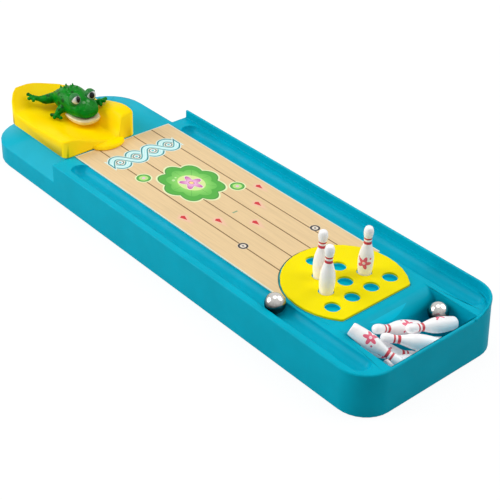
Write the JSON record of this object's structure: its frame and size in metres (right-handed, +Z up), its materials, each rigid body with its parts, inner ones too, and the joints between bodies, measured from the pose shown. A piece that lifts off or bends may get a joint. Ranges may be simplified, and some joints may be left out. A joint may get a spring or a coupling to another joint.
{
  "type": "tabletop bowling game",
  "caption": "Tabletop bowling game: a moulded blue tray with a printed lane, gutters, a drilled pin plate, small pins, steel balls and a sliding launcher with a sprung animal figure.",
  "frame": {"origin": "bottom centre of the tray's footprint", "axes": "+X across the lane towards the railed side, +Y along the lane from the bin to the launcher, +Z up"},
  "size_m": [0.1014, 0.335, 0.0526],
  "materials": {
    "tray_blue": "bright blue moulded plastic, satin gloss",
    "lane_print": "printed sheet in a wood tone with plank lines and red arrows",
    "plate_yellow": "yellow moulded plastic",
    "launcher_yellow": "warm yellow moulded plastic",
    "pin_white": "white moulded plastic with printed red bands",
    "ball_steel": "polished steel",
    "figure_green": "painted glossy green",
    "figure_cream": "painted cream",
    "eye_white": "glossy white with black pupils",
    "screw_steel": "plain zinc-plated steel"
  },
  "bodies": {
    "tray": {"tray_body": "tray_blue", "lane_sheet": "lane_print", "pin_plate": "plate_yellow"},
    "launcher": {"launcher_housing": "launcher_yellow", "launcher_base": "launcher_yellow", "slide_shoe": "launcher_yellow", "slide_screw": "screw_steel", "housing_screw_1": "screw_steel", "housing_screw_2": "screw_steel", "housing_screw_3": "screw_steel", "housing_screw_4": "screw_steel", "rocker_pin": "screw_steel", "return_spring": "screw_steel"},
    "figure": {"rocker": "launcher_yellow", "figure_screw": "screw_steel", "figure_body": "figure_green", "figure_jaw": "figure_cream", "eye_near": "eye_white", "eye_far": "eye_white"},
    "pin_1": {"pin_1": "pin_white"},
    "pin_2": {"pin_2": "pin_white"},
    "pin_3": {"pin_3": "pin_white"},
    "pin_4": {"pin_4": "pin_white"},
    "pin_5": {"pin_5": "pin_white"},
    "pin_6": {"pin_6": "pin_white"},
    "pin_7": {"pin_7": "pin_white"},
    "pin_8": {"pin_8": "pin_white"},
    "pin_9": {"pin_9": "pin_white"},
    "pin_10": {"pin_10": "pin_white"},
    "ball_gutter": {"ball_gutter": "ball_steel"},
    "ball_bin": {"ball_bin": "ball_steel"}
  },
  "joints": [
    {"name": "launcher_slide", "type": "slide", "parent": "tray", "child": "launcher", "axis": [1, 0, 0], "range_m": [0, 0.03]},
    {"name": "figure_hinge", "type": "hinge", "parent": "launcher", "child": "figure", "pos_m": [-0.0105, 0.1289, 0.0286], "axis": [-1, 0, 0], "range_deg": [0, 6], "stiffness_Nm_per_rad": 0.03, "springref_deg": -5.73, "deforming": ["return_spring"]},
    {"name": "pin_1_lift", "type": "slide", "parent": "tray", "child": "pin_1", "axis": [0, 0, 1], "range_m": [0, 0.03]},
    {"name": "pin_2_lift", "type": "slide", "parent": "tray", "child": "pin_2", "axis": [0, 0, 1], "range_m": [0, 0.03]},
    {"name": "pin_3_lift", "type": "slide", "parent": "tray", "child": "pin_3", "axis": [0, 0, 1], "range_m": [0, 0.03]},
    {"name": "ball_gutter_roll", "type": "slide", "parent": "tray", "child": "ball_gutter", "axis": [0, 1, 0], "range_m": [-0.056, 0.166]},
    {"name": "pin_6_lift", "type": "slide", "parent": "tray", "child": "pin_6", "axis": [0, 0, 1], "range_m": [0, 0.024]},
    {"name": "pin_9_lift", "type": "slide", "parent": "pin_6", "child": "pin_9", "axis": [0, 0, 1], "range_m": [0, 0.024]},
    {"name": "pin_10_lift", "type": "slide", "parent": "pin_9", "child": "pin_10", "axis": [0, 0, 1], "range_m": [0, 0.024]},
    {"name": "pin_8_lift", "type": "slide", "parent": "pin_10", "child": "pin_8", "axis": [0, 0, 1], "range_m": [0, 0.024]},
    {"name": "pin_5_lift", "type": "slide", "parent": "pin_8", "child": "pin_5", "axis": [0, 0, 1], "range_m": [0, 0.024]},
    {"name": "pin_7_lift", "type": "slide", "parent": "pin_8", "child": "pin_7", "axis": [0, 0, 1], "range_m": [0, 0.024]},
    {"name": "pin_4_lift", "type": "slide", "parent": "pin_6", "child": "pin_4", "axis": [0, 0, 1], "range_m": [0, 0.024]},
    {"name": "ball_bin_lift", "type": "slide", "parent": "tray", "child": "ball_bin", "axis": [0, 0, 1], "range_m": [0, 0.024]}
  ]
}
